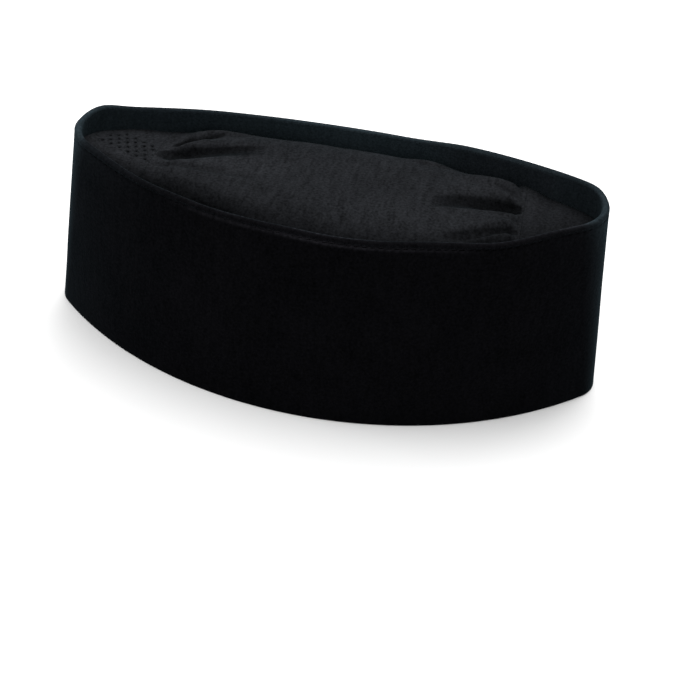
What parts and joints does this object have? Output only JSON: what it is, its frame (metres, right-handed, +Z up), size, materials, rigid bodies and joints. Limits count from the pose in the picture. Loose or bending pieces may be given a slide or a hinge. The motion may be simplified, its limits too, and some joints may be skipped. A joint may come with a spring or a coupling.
{
  "type": "songkok",
  "caption": "Stiff oval velvet cap, open below: a flared band whose rim dips along the sides, and a sunken crown with a puffed, pleated middle panel between flat end panels.",
  "frame": {"origin": "middle of the lower edge's plan, on the surface that the cap stands on", "axes": "+Z up towards the crown, +X along the length of the cap, the vented end panel at -X, +Y across"},
  "size_m": [0.254, 0.12, 0.0928],
  "materials": {
    "band_velvet": "black velvet, matte with a faint sheen at grazing angles",
    "crown_velvet": "black velvet, slightly lighter from above, with pleats",
    "end_cloth": "matte black short-pile cloth"
  },
  "bodies": {
    "root": {"side_band": "band_velvet", "crown_panel": "crown_velvet", "end_panel_vented": "end_cloth", "end_panel_plain": "end_cloth"}
  },
  "joints": []
}
